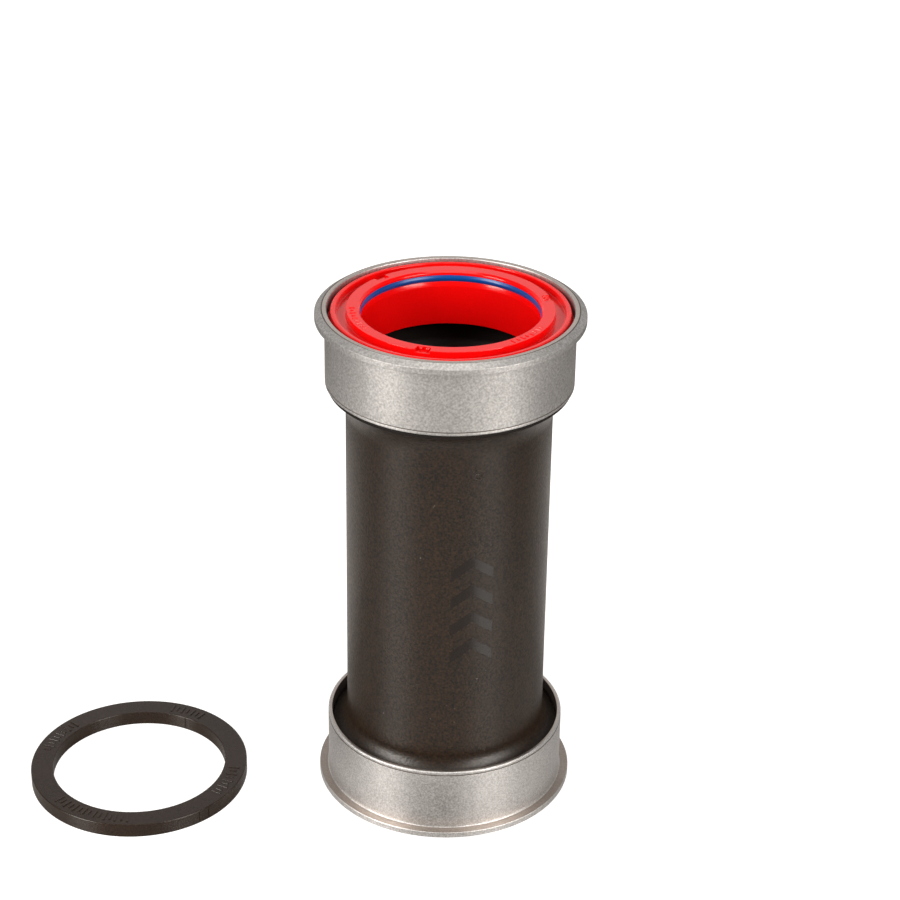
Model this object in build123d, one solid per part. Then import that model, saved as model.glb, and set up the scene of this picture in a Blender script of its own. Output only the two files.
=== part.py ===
"""A press-fit bottom bracket for a bicycle, standing on end, with its loose spindle spacer.

Millimetres. Z is the spindle axis, and the origin is halfway between the two cups. Both
cups and their bearings are the same parts turned end for end, so each is drawn once, at
the upper end, and its lower twin is a copy turned half a turn about X. A depth is always
measured inboard from a cup's rim face, the flat outer end that shows beside the crank.
"""

import os

from build123d import *

os.makedirs("parts", exist_ok=True)

# ---------------------------------------------------------------- driving dimensions
shell_width = 86.5  # the frame shell between the two flanges
shell_bore = 41.0  # the frame bore that the cups are pressed into
spindle_diameter = 28.99

# cup
flange_thickness = 1.75
flange_overhang = 1.6  # how far the flange stands out past the cup's body
flange_bevel = 0.8
root_fillet = 0.4
cup_depth = 13.06
lead_in_length = 0.7
lead_in_depth = 0.3
recess_radius = 20.13  # the open pocket around the shield
cup_bore_radius = 19.8  # the skirt that the centre tube's ends sit in
retaining_lip_width = 0.7
retaining_lip_thickness = 0.5

# bearing
bearing_depth = 2.3  # depth of its outboard face
bearing_width = 6.0
bearing_inner_radius = 15.0
bearing_outer_radius = 19.0
race_thickness = 1.15
ball_radius = 1.389
ball_count = 24
ball_clearance = 0.04
cage_height = 3.4
cage_clearance = 0.2
pocket_clearance = 0.06
bearing_seal_thickness = 0.5
bearing_seal_gap = 0.15
press_gap = 0.01  # drawn between pieces that are pressed together

# shield and spindle seal
running_clearance = 0.035  # between the spindle and the shield's sleeve
shield_face_depth = 0.1
shield_edge_gap = 0.33  # labyrinth gap to the cup's pocket
shield_underside_gap = 0.3  # gap to the bearing's fixed face
collar_inner_radius = 14.9
collar_outer_radius = 16.94
gutter_outer_radius = 18.7
gutter_depth = 1.4
edge_ring_depth = 0.5
edge_ring_rise = 0.2
sleeve_wall = 0.45
sleeve_depth = 9.65
seal_top_depth = 0.6
seal_bottom_depth = 1.75
seal_mouth_radius = 14.65
seal_groove_radius = 15.37
seal_inner_radius = 14.51
notch_count = 3
notch_first_angle = 15.0
notch_width = 2.4
notch_length = 1.4
notch_depth = 0.5

# centre tube
tube_outer_radius = 17.13
tube_wall = 0.93
tube_end_radius = 19.7
tube_end_bore_radius = 18.1
stop_gap = 0.05  # drawn between a tube end and the cup face it rests on
shoulder_radius = 20.1
shoulder_thickness = 1.04
spigot_length = 3.7
lower_lip_length = 2.0
upper_flare_length = 4.85
lower_flare_length = 4.0
o_ring_section_radius = 0.5
o_ring_groove_width = 1.1
o_ring_groove_depth = 0.95
o_ring_seat = 0.02  # drawn between an O-ring and the floor of its groove

# loose spacer
spacer_outer_radius = 19.0
spacer_bore_radius = 15.16
spacer_thickness = 2.5
spacer_centre_x = -54.0
spacer_centre_y = -3.4

# ---------------------------------------------------------------- derived dimensions
half_length = shell_width / 2 + flange_thickness
cup_radius = shell_bore / 2
flange_radius = cup_radius + flange_overhang
bearing_end_depth = bearing_depth + bearing_width
ledge_depth = bearing_end_depth + retaining_lip_thickness
pitch_radius = (bearing_inner_radius + bearing_outer_radius) / 2
inner_race_radius = bearing_inner_radius + race_thickness
outer_race_radius = bearing_outer_radius - race_thickness
groove_radius = ball_radius + ball_clearance
sleeve_bore_radius = spindle_diameter / 2 + running_clearance
shield_radius = recess_radius - shield_edge_gap
tube_bore_radius = tube_outer_radius - tube_wall


def height(depth):
    """Height of a point of the upper cup, from its depth below the rim face."""
    return half_length - depth


middle_of_bearing = height(bearing_depth + bearing_width / 2)


# ---------------------------------------------------------------- drawing helpers
def turned(outline):
    """Spin a closed outline, drawn as radius against height, about the spindle axis."""
    return revolve(Plane.XZ * make_face(outline), Axis.Z)


def turned_points(points):
    """Spin a closed outline of straight lines, given as (radius, height) corners."""
    return turned(Polyline(points, close=True))


def ring(inner_radius, outer_radius, low, high):
    """A plain ring about the spindle axis between two heights."""
    return turned_points(
        [(inner_radius, low), (outer_radius, low), (outer_radius, high), (inner_radius, high)]
    )


def flare(start, end):
    """An arc that leaves a tube's straight wall at start, along the wall, and ends at end."""
    return TangentArc(start, end, tangent=(0, end[1] - start[1]))


# ---------------------------------------------------------------- the cup and its bearing
def cup():
    """Flanged aluminium cup: shield pocket, bearing seat, retaining lip and tube skirt."""
    rim_edge = flange_radius - flange_bevel
    flange_face = height(flange_thickness)
    mouth = height(cup_depth)
    lip_bore = bearing_outer_radius - retaining_lip_width
    outside = Polyline(
        (recess_radius, height(0)),
        (rim_edge, height(0)),
        (flange_radius, height(flange_bevel)),
        (flange_radius, flange_face),
        (cup_radius + root_fillet, flange_face),
    )
    fillet_arc = TangentArc(
        (cup_radius + root_fillet, flange_face),
        (cup_radius, flange_face - root_fillet),
        tangent=(-1, 0),
    )
    inside = Polyline(
        (cup_radius, flange_face - root_fillet),
        (cup_radius, mouth + lead_in_length),
        (cup_radius - lead_in_depth, mouth),
        (cup_bore_radius, mouth),
        (cup_bore_radius, height(ledge_depth)),
        (lip_bore, height(ledge_depth)),
        (lip_bore, height(bearing_end_depth)),
        (bearing_outer_radius, height(bearing_end_depth)),
        (bearing_outer_radius, height(bearing_depth)),
        (recess_radius, height(bearing_depth)),
        (recess_radius, height(0)),
    )
    return turned(outside + fillet_arc + inside)


def raceway():
    """The circular track that the balls run in, as a ring of round section."""
    return Pos(0, 0, middle_of_bearing) * Torus(pitch_radius, groove_radius)


def outer_race():
    """Bearing ring pressed into the cup."""
    return (
        ring(
            outer_race_radius,
            bearing_outer_radius - press_gap,
            height(bearing_end_depth),
            height(bearing_depth),
        )
        - raceway()
    )


def inner_race():
    """Bearing ring that turns with the spindle, on the shield's sleeve."""
    return (
        ring(
            bearing_inner_radius,
            inner_race_radius,
            height(bearing_end_depth),
            height(bearing_depth),
        )
        - raceway()
    )


def ball_places():
    """Where the balls sit, evenly round the pitch circle, with X pointing outward at each."""
    half_step = 180 / ball_count
    return Pos(0, 0, middle_of_bearing) * PolarLocations(pitch_radius, ball_count, half_step)


def balls():
    """The full set of steel balls, each a separate solid."""
    return Compound([place * Sphere(ball_radius) for place in ball_places()])


def ball_cage():
    """Thin ring with a round hole for each ball, riding between the races."""
    cage = ring(
        inner_race_radius + cage_clearance,
        outer_race_radius - cage_clearance,
        middle_of_bearing - cage_height / 2,
        middle_of_bearing + cage_height / 2,
    )
    pocket = Rot(0, 90, 0) * Cylinder(ball_radius + pocket_clearance, 4 * ball_radius)
    return cage - [place * pocket for place in ball_places()]


def bearing_seal(outboard_depth):
    """Rubber ring that closes one face of the bearing, held by the outer race."""
    return ring(
        inner_race_radius + bearing_seal_gap,
        outer_race_radius - press_gap,
        height(outboard_depth + bearing_seal_thickness),
        height(outboard_depth),
    )


# ---------------------------------------------------------------- the shield and its seal
def shield():
    """Moulded shield: collar, drainage gutter, outer edge ring, and a sleeve in the bearing."""
    face = height(shield_face_depth)
    gutter_floor = height(gutter_depth)
    edge_top = height(edge_ring_depth)
    underside = height(bearing_depth - shield_underside_gap)
    hub_radius = inner_race_radius - press_gap
    sleeve_outer_radius = sleeve_bore_radius + sleeve_wall
    gutter_side = Polyline(
        (seal_mouth_radius, height(seal_top_depth)),
        (collar_inner_radius, face),
        (collar_outer_radius, face),
        (collar_outer_radius, gutter_floor),
        (gutter_outer_radius, gutter_floor),
        (gutter_outer_radius, edge_top),
    )
    rounded_edge = ThreePointArc(
        (gutter_outer_radius, edge_top),
        ((gutter_outer_radius + shield_radius) / 2, edge_top + edge_ring_rise),
        (shield_radius, edge_top),
    )
    back = Polyline(
        (shield_radius, edge_top),
        (shield_radius, underside),
        (hub_radius, underside),
        (hub_radius, height(bearing_depth)),
        (sleeve_outer_radius, height(bearing_depth)),
        (sleeve_outer_radius, height(sleeve_depth)),
        (sleeve_bore_radius, height(sleeve_depth)),
        (sleeve_bore_radius, height(seal_bottom_depth)),
        (seal_groove_radius, height(seal_bottom_depth)),
        (seal_groove_radius, height(seal_top_depth)),
        (seal_mouth_radius, height(seal_top_depth)),
    )
    body = turned(gutter_side + rounded_edge + back)
    return body - notches()


def notches():
    """Shallow notches in the collar's face, open to the gutter."""
    overrun = 0.3
    notch = Box(
        notch_length + overrun,
        notch_width,
        notch_depth,
        align=(Align.MIN, Align.CENTER, Align.MAX),
    )
    place = Pos(collar_outer_radius - notch_length, 0, height(shield_face_depth))
    spacing = 360 / notch_count
    return [Rot(0, 0, notch_first_angle + spacing * i) * place * notch for i in range(notch_count)]


def spindle_seal():
    """Soft ring in the collar's inner groove that wipes the spindle."""
    return ring(
        seal_inner_radius,
        seal_groove_radius - press_gap,
        height(seal_bottom_depth) + press_gap,
        height(seal_top_depth) - press_gap,
    )


# ---------------------------------------------------------------- the centre tube
shoulder_top = height(cup_depth) - stop_gap
shoulder_bottom = shoulder_top - shoulder_thickness
spigot_top = shoulder_top + spigot_length
lower_end = stop_gap - height(ledge_depth)
lower_lip_top = lower_end + lower_lip_length
upper_groove_middle = shoulder_top + spigot_length / 2
lower_groove_middle = lower_end + lower_lip_length / 2


def o_ring_groove(middle):
    """The ring of material that an O-ring's groove takes out of a tube end."""
    return ring(
        tube_end_radius - o_ring_groove_depth,
        shoulder_radius,
        middle - o_ring_groove_width / 2,
        middle + o_ring_groove_width / 2,
    )


def centre_tube():
    """Thin sleeve between the cups: flared ends, a shoulder under the upper cup's mouth."""
    wall_top = shoulder_bottom - upper_flare_length
    wall_bottom = lower_lip_top + lower_flare_length
    outline = (
        Line((tube_outer_radius, wall_bottom), (tube_outer_radius, wall_top))
        + flare((tube_outer_radius, wall_top), (shoulder_radius, shoulder_bottom))
        + Polyline(
            (shoulder_radius, shoulder_bottom),
            (shoulder_radius, shoulder_top),
            (tube_end_radius, shoulder_top),
            (tube_end_radius, spigot_top),
            (tube_end_bore_radius, spigot_top),
            (tube_end_bore_radius, shoulder_bottom),
        )
        + flare((tube_bore_radius, wall_top), (tube_end_bore_radius, shoulder_bottom))
        + Line((tube_bore_radius, wall_top), (tube_bore_radius, wall_bottom))
        + flare((tube_bore_radius, wall_bottom), (tube_end_bore_radius, lower_lip_top))
        + Polyline(
            (tube_end_bore_radius, lower_lip_top),
            (tube_end_bore_radius, lower_end),
            (tube_end_radius, lower_end),
            (tube_end_radius, lower_lip_top),
        )
        + flare((tube_outer_radius, wall_bottom), (tube_end_radius, lower_lip_top))
    )
    return turned(outline) - o_ring_groove(upper_groove_middle) - o_ring_groove(lower_groove_middle)


def o_ring(middle):
    """Rubber ring in the groove whose middle is at the given height."""
    centre_radius = tube_end_radius - o_ring_groove_depth + o_ring_seat + o_ring_section_radius
    return Pos(0, 0, middle) * Torus(centre_radius, o_ring_section_radius)


def spacer_ring():
    """Loose spindle spacer, lying beside the bracket on the same surface."""
    plain = ring(
        spacer_bore_radius, spacer_outer_radius, -half_length, spacer_thickness - half_length
    )
    return Pos(spacer_centre_x, spacer_centre_y, 0) * plain


# ---------------------------------------------------------------- every piece, by name
def cup_pieces():
    """The pieces of one end of the bracket, drawn at the upper end."""
    inboard_seal_depth = bearing_end_depth - bearing_seal_thickness
    return {
        "cup": cup(),
        "outer_race": outer_race(),
        "inner_race": inner_race(),
        "balls": balls(),
        "ball_cage": ball_cage(),
        "outboard_bearing_seal": bearing_seal(bearing_depth),
        "inboard_bearing_seal": bearing_seal(inboard_seal_depth),
        "shield": shield(),
        "spindle_seal": spindle_seal(),
    }


pieces = {
    "centre_tube": centre_tube(),
    "upper_tube_o_ring": o_ring(upper_groove_middle),
    "lower_tube_o_ring": o_ring(lower_groove_middle),
    "spacer_ring": spacer_ring(),
}
turn_end_for_end = Rot(180, 0, 0)
for piece_name, piece in cup_pieces().items():
    pieces[f"upper_{piece_name}"] = piece
    pieces[f"lower_{piece_name}"] = turn_end_for_end * piece

for node_name, shape in pieces.items():
    export_step(shape, f"parts/{node_name}.step")
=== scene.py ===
"""Looks for a press-fit bottom bracket that stands on end beside its loose spindle spacer.

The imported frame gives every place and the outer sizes. The classes below hold the smaller
sizes in millimetres, build each piece as a closed mesh in metres, and dress it. Both ends
of the bracket are the same pieces turned end for end, so an End says which one is made.
"""

import logging
import math
from dataclasses import dataclass, field
from enum import Enum, IntEnum

import bmesh
import bpy
from mathutils import Matrix, Vector

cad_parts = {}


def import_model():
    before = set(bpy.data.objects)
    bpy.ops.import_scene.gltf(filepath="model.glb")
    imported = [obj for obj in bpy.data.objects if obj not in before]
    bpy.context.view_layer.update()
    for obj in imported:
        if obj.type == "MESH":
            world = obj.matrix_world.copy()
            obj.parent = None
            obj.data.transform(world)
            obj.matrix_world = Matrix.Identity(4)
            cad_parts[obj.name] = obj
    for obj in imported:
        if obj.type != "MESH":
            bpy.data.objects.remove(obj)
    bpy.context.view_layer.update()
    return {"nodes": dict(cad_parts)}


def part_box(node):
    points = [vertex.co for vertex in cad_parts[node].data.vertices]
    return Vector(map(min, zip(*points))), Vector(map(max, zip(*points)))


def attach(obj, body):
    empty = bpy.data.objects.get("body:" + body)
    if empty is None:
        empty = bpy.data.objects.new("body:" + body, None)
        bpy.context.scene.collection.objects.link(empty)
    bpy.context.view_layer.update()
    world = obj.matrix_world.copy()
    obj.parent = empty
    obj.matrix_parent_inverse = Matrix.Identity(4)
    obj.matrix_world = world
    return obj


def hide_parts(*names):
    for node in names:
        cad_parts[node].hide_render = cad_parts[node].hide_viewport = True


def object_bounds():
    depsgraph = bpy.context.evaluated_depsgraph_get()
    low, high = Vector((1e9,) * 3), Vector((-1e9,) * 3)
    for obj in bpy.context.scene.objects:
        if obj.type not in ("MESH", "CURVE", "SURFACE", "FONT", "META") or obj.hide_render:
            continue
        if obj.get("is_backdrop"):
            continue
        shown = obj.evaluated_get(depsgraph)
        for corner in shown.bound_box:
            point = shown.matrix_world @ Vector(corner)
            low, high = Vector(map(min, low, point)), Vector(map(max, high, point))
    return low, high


Piece = bpy.types.Object
Socket = bpy.types.NodeSocket

MM = 0.001
TURN = 2 * math.pi

# how finely pieces are turned, and which edges stay crisp when they are shaded
SEGMENTS = 192
ARC_STEPS = 5
BIG_ARC = 1.0
BIG_ARC_SHARE = 4
BLOCK_ARC_STEPS = 6
SHARP_EDGE = math.radians(38)

# a corner's arc may use this share of the runs before and after it
BACK_SHARE = 0.49
AHEAD_SHARE = 0.98
LEAST_REACH = 1e-4
NEARLY_STRAIGHT = 0.01

# edge roundings that the turned parts share, in millimetres
SHARP = 0.0
SCORED = 0.02
CRISP = 0.03
FINE = 0.05
NEAT = 0.06
EASED = 0.08
SOFT = 0.10
ROUNDED = 0.12
FULL = 0.15
WIDE = 0.20

log = logging.getLogger("bottom_bracket")


class End(Enum):
    """Which end of the bracket a piece belongs to."""

    UPPER = "upper"
    LOWER = "lower"

    @property
    def turn(self) -> Matrix:
        """The turn that brings a piece drawn at the upper end to this end."""
        return Matrix.Rotation(0.0 if self is End.UPPER else math.pi, 4, "X")


class CupSurface(IntEnum):
    """The cup's surfaces, in the order of its materials."""

    BODY = 0
    MACHINED = 1
    FLANGE_BACK = 2
    # the groove faces take the painted shade metal
    GROOVE = 3


class TubeSurface(IntEnum):
    """The centre tube's surfaces, in the order of its materials."""

    WALL = 0
    # the bore and the shoulder's lip take the painted shade nylon
    BORE = 1


class RingWall(Enum):
    """Which wall of the spacer a mould line runs up."""

    BORE = "bore"
    OUTSIDE = "outside"


# ------------------------------------------------------------------ outlines and meshes
@dataclass(frozen=True)
class Corner:
    """A corner of a turned outline, in millimetres.

    Args:
        radius: distance from the turning axis.
        height: height along the axis.
        rounding: radius of the arc that replaces the corner.
    """

    radius: float
    height: float
    rounding: float

    @property
    def point(self) -> Vector:
        """The corner's place on the section."""
        return Vector((self.radius, self.height))


def rounded_outline(corners: list[Corner], steps: int = ARC_STEPS) -> list[tuple[float, float]]:
    """Replace each corner of a closed outline with an arc.

    Args:
        corners: the outline's corners, in order.
        steps: straight pieces in each small arc.

    Returns:
        (radius, height) points in metres.
    """
    points = []
    for i, corner in enumerate(corners):
        here = corner.point
        back = corners[i - 1].point - here
        ahead = corners[(i + 1) % len(corners)].point - here
        half = back.angle(ahead) / 2
        reach = corner.rounding / math.tan(half) if half > NEARLY_STRAIGHT else 0.0
        reach = min(reach, BACK_SHARE * back.length, AHEAD_SHARE * ahead.length)
        if reach < LEAST_REACH or half > math.pi / 2 - NEARLY_STRAIGHT:
            points.append(here * MM)
            continue
        radius = reach * math.tan(half)
        middle = (back.normalized() + ahead.normalized()).normalized()
        centre = here + middle * (radius / math.sin(half))
        start = here + back.normalized() * reach - centre
        sweep = start.angle_signed(here + ahead.normalized() * reach - centre)
        pieces = steps if radius < BIG_ARC else BIG_ARC_SHARE * steps
        for step in range(pieces + 1):
            turned = start.copy()
            turned.rotate(Matrix.Rotation(-sweep * step / pieces, 2))
            points.append((centre + turned) * MM)
    return [(point.x, point.y) for point in points]


def link(name: str, mesh: bpy.types.Mesh) -> Piece:
    """Put a mesh in the scene as an object at the origin.

    Args:
        name: the new object's name.
        mesh: its mesh.

    Returns:
        The object.
    """
    piece = bpy.data.objects.new(name, mesh)
    bpy.context.scene.collection.objects.link(piece)
    return piece


def lathe(name: str, outline: list[tuple[float, float]], centre: Vector | None = None) -> Piece:
    """Turn a closed outline about an upright axis.

    Args:
        name: the new object's name.
        outline: (radius, height) points in metres.
        centre: where the axis stands, or None for the spindle axis.

    Returns:
        A closed object whose faces point outwards.
    """
    centre = centre or Vector((0, 0, 0))
    shape = bmesh.new()
    rings = []
    for segment in range(SEGMENTS):
        angle = TURN * segment / SEGMENTS
        side, front = math.cos(angle), math.sin(angle)
        rings.append(
            [shape.verts.new((r * side + centre.x, r * front + centre.y, z)) for r, z in outline]
        )
    count = len(outline)
    for segment, ring in enumerate(rings):
        following = rings[(segment + 1) % SEGMENTS]
        for i in range(count):
            j = (i + 1) % count
            shape.faces.new((ring[i], following[i], following[j], ring[j]))
    bmesh.ops.recalc_face_normals(shape, faces=shape.faces)
    mesh = bpy.data.meshes.new(name)
    shape.to_mesh(mesh)
    shape.free()
    return link(name, mesh)


def apply_modifiers(piece: Piece) -> None:
    """Turn a piece and its live modifiers into a plain mesh.

    Args:
        piece: the piece, which keeps its name.
    """
    graph = bpy.context.evaluated_depsgraph_get()
    mesh = bpy.data.meshes.new_from_object(piece.evaluated_get(graph), depsgraph=graph)
    mesh.name = piece.name
    piece.modifiers.clear()
    piece.data = mesh


def smooth(piece: Piece) -> None:
    """Shade a piece smooth, with crisp edges and flat faces that stay flat.

    Args:
        piece: the piece.
    """
    piece.data.shade_smooth()
    piece.data.set_sharp_from_angle(angle=SHARP_EDGE)
    weighting = piece.modifiers.new("flat_faces", "WEIGHTED_NORMAL")
    weighting.keep_sharp = True
    apply_modifiers(piece)


def cut(piece: Piece, cutter: Piece) -> None:
    """Take a cutter's solids out of a piece, and remove the cutter.

    Args:
        piece: the piece to cut.
        cutter: an object of closed solids.
    """
    boolean = piece.modifiers.new("cut", "BOOLEAN")
    boolean.operation = "DIFFERENCE"
    boolean.solver = "EXACT"
    boolean.object = cutter
    apply_modifiers(piece)
    bpy.data.objects.remove(cutter)


def blocks(name: str, size: Vector, rounding: float, places: list[Matrix]) -> Piece:
    """Equal blocks whose upright edges are rounded, joined as one object.

    Args:
        name: the new object's name.
        size: a block's length along X, Y and Z, in metres.
        rounding: radius of its upright edges, in metres.
        places: where each block goes.

    Returns:
        The new object.
    """
    mesh = bpy.data.meshes.new(name)
    joined = bmesh.new()
    for place in places:
        shape = bmesh.new()
        bmesh.ops.create_cube(shape, size=1.0, matrix=Matrix.Diagonal((*size, 1)))
        upright = [e for e in shape.edges if abs((e.verts[0].co - e.verts[1].co).z) > size.z / 2]
        bmesh.ops.bevel(
            shape, geom=upright, offset=rounding, segments=BLOCK_ARC_STEPS, profile=0.5,
            affect="EDGES",
        )
        shape.transform(place)
        shape.to_mesh(mesh)
        joined.from_mesh(mesh)
        shape.free()
    joined.to_mesh(mesh)
    joined.free()
    return link(name, mesh)


def dress(piece: Piece, *materials: bpy.types.Material) -> None:
    """Give a piece its materials, in the order of its faces' indices.

    Args:
        piece: the piece.
        materials: its materials.
    """
    piece.data.materials.clear()
    for material in materials:
        piece.data.materials.append(material)


def turned_piece(
    name: str, corners: list[Corner], *materials: bpy.types.Material, centre: Vector | None = None
) -> Piece:
    """Turn a rounded outline, shade it and dress it.

    Args:
        name: the new object's name.
        corners: its section.
        materials: its materials, in the order of its faces' indices.
        centre: where the axis stands, or None for the spindle axis.

    Returns:
        The finished piece.
    """
    piece = lathe(name, rounded_outline(corners), centre)
    smooth(piece)
    dress(piece, *materials)
    return piece


def seat(piece: Piece, body: str, slot: str, *nodes: str) -> None:
    """Hand a finished piece to the frame.

    Args:
        piece: the finished piece.
        body: the body it moves with.
        slot: the record's material slot; not used.
        nodes: the nodes it stands for, if any.
    """
    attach(piece, body)
    if nodes:
        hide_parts(*nodes)
    log.info("%s: %d faces, rides on %s", piece.name, len(piece.data.polygons), body)


# ------------------------------------------------------------------ node trees
class NodeTree:
    """A node tree, with short calls for the nodes that the finishes and patterns share."""

    def __init__(self, tree: bpy.types.NodeTree) -> None:
        """Take over a tree, and empty it."""
        self.tree = tree
        tree.nodes.clear()

    def value(self, given: object) -> object:
        """What a socket gets for a given value."""
        return given

    def fill(self, node: bpy.types.Node, **inputs: object) -> bpy.types.Node:
        """Fill a node's sockets.

        Args:
            node: the node.
            inputs: its sockets, by name with underscores for spaces, or by number as i0. Each
                takes a number, a tuple or another node's socket.

        Returns:
            The same node.
        """
        for name, given in inputs.items():
            number = name[1:]
            socket = node.inputs[int(number) if number.isdigit() else name.replace("_", " ")]
            value = self.value(given)
            if isinstance(value, Socket):
                self.tree.links.new(value, socket)
            else:
                socket.default_value = value
        return node

    def node(self, kind: str, settings: dict | None = None, **inputs: object) -> bpy.types.Node:
        """Add a node.

        Args:
            kind: its type.
            settings: attributes to set on it.
            inputs: its sockets, as fill takes them.

        Returns:
            The new node.
        """
        node = self.tree.nodes.new(kind)
        for name, value in (settings or {}).items():
            setattr(node, name, value)
        return self.fill(node, **inputs)

    def calculate(self, operation: str, first: object, second: object = 0.0) -> Socket:
        """A number from one or two others."""
        return self.node("ShaderNodeMath", {"operation": operation}, i0=first, i1=second).outputs[0]

    def vector(self, **parts: object) -> Socket:
        """A vector from its X, Y and Z, each 0 where it isn't given."""
        return self.node("ShaderNodeCombineXYZ", **parts).outputs["Vector"]

    def between(
        self, value: Socket, source: tuple[float, float], target: tuple[float, float]
    ) -> Socket:
        """Move a value from one range to another, and hold it inside.

        Args:
            value: the value.
            source: the range that it comes from.
            target: the range that it goes to.

        Returns:
            The moved value.
        """
        ends = {"From_Min": source[0], "From_Max": source[1]}
        ends |= {"To_Min": target[0], "To_Max": target[1]}
        return self.node("ShaderNodeMapRange", Value=value, **ends).outputs["Result"]


# ------------------------------------------------------------------ finishes
class Sheet(NodeTree):
    """A material with a Principled shader, and the patterns that the finishes share."""

    def __init__(self, name: str) -> None:
        """Start a material with a shader and an output.

        Args:
            name: its name.
        """
        self.material = bpy.data.materials.new(name)
        self.material.use_nodes = True
        super().__init__(self.material.node_tree)
        self.shader = self.node("ShaderNodeBsdfPrincipled")
        self.node("ShaderNodeOutputMaterial", Surface=self.shader.outputs["BSDF"])
        self.place = self.node("ShaderNodeTexCoord").outputs["Object"]

    def dress_shader(self, **inputs: object) -> bpy.types.Material:
        """Fill the shader's sockets, and return the finished material."""
        self.fill(self.shader, **inputs)
        return self.material

    def noise(self, scale: float, detail: float, place: Socket | None = None) -> Socket:
        """A noise value, at a scale in waves to the metre."""
        node = self.node("ShaderNodeTexNoise", Scale=scale, Detail=detail, Vector=place or self.place)
        return node.outputs["Fac"]

    def blend(self, share: Socket, first: tuple, second: tuple | Socket) -> Socket:
        """Mix two colours.

        Args:
            share: 0 for the first colour, 1 for the second.
            first: a plain colour.
            second: a plain colour, or one that a node makes.

        Returns:
            The mixed colour.
        """
        node = self.node("ShaderNodeMix", {"data_type": "RGBA"}, Factor=share)
        colours = [socket for socket in node.inputs if socket.type == "RGBA"]
        for socket, colour in zip(colours, (first, second)):
            if isinstance(colour, tuple):
                socket.default_value = (*colour, 1)
            else:
                self.tree.links.new(colour, socket)
        return next(socket for socket in node.outputs if socket.type == "RGBA")

    def bump(self, height: Socket, relief: tuple[float, float], onto: Socket | None = None) -> Socket:
        """Raise relief from a height value.

        Args:
            height: the value.
            relief: the relief's depth in millimetres, and its strength.
            onto: relief that this one lies on, if any.

        Returns:
            The shading normal.
        """
        depth, strength = relief
        node = self.node("ShaderNodeBump", Strength=strength, Distance=depth * MM, Height=height)
        if onto:
            self.fill(node, Normal=onto)
        return node.outputs["Normal"]

    def tool_marks(self, fineness: float) -> Socket:
        """Uneven circular marks about the spindle axis.

        Args:
            fineness: how many waves to the metre.

        Returns:
            The marks' value, from 0 to 1.
        """
        parts = self.node("ShaderNodeSeparateXYZ", Vector=self.place).outputs
        flat = self.vector(X=parts["X"], Y=parts["Y"])
        radius = self.node("ShaderNodeVectorMath", {"operation": "LENGTH"}, i0=flat).outputs["Value"]
        return self.noise(fineness, 3.0, self.vector(X=radius, Y=parts["Z"]))


@dataclass(frozen=True)
class PaintedShadePatch:
    """A painted shade patch, darker towards its heart and broken up by noise: its centre and reach in
    metres, and its strength.
    """

    centre: tuple[float, float, float]
    heart: float = 0.0015
    reach: float = 0.0075
    strength: float = 0.55
    breakup: float = 420.0

    def share(self, sheet: Sheet) -> Socket:
        """How strongly the patch shows at each point, broken up by noise.

        Args:
            sheet: the material that carries it.

        Returns:
            Its share.
        """
        away = sheet.node(
            "ShaderNodeVectorMath", {"operation": "DISTANCE"}, i0=sheet.place, i1=self.centre
        )
        soft = sheet.between(away.outputs["Value"], (self.heart, self.reach), (self.strength, 0.0))
        return sheet.calculate("MULTIPLY", soft, sheet.noise(self.breakup, 3.0))


@dataclass(frozen=True)
class BlastedMetal:
    """Satin aluminium with the fine, even grain of bead blasting and a few dark pores."""

    name: str
    light: tuple = (0.75, 0.735, 0.725)
    dark: tuple = (0.29, 0.28, 0.275)
    roughness: tuple = (0.45, 0.56)
    # painted shade: a dark tint on grazing reflections, standing in for the shadowed floor that the
    # cup's edges reflect; white leaves it out
    painted_grazing_shade: tuple = (0.38, 0.37, 0.36, 1.0)
    grain: float = 2900.0
    grain_span: tuple = (0.34, 0.66)
    grain_shade: float = 0.56
    pore_grain_share: float = 0.5
    pore_span: tuple = (0.68, 0.76)
    pore_shade: float = 0.6
    cloud_size: float = 110.0
    cloud_span: tuple = (0.25, 0.80)
    cloud_shade: float = 0.22
    worn_span: tuple = (0.2, 0.8)
    relief: tuple = (0.022, 0.6)
    painted_shade_patch: PaintedShadePatch | None = None

    def build(self) -> bpy.types.Material:
        """Make the material.

        Returns:
            The material.
        """
        sheet = Sheet(self.name)
        fine = sheet.noise(self.grain, 4.0)
        clouds = sheet.noise(self.cloud_size, 2.0)
        holes = sheet.noise(self.grain * self.pore_grain_share, 1.0)
        pores = sheet.between(holes, self.pore_span, (0.0, self.pore_shade))
        mottle = sheet.between(fine, self.grain_span, (0.0, self.grain_shade))
        handling = sheet.between(clouds, self.cloud_span, (0.0, self.cloud_shade))
        shade = sheet.calculate("MAXIMUM", sheet.calculate("ADD", mottle, handling), pores)
        # painted shade: the patch darkens the cup's colour round its centre
        if self.painted_shade_patch:
            shade = sheet.calculate("ADD", shade, self.painted_shade_patch.share(sheet))
        return sheet.dress_shader(
            Metallic=1.0, Specular_Tint=self.painted_grazing_shade,
            Base_Color=sheet.blend(shade, self.light, self.dark),
            Roughness=sheet.between(clouds, self.worn_span, self.roughness),
            Normal=sheet.bump(fine, self.relief),
        )


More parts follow.
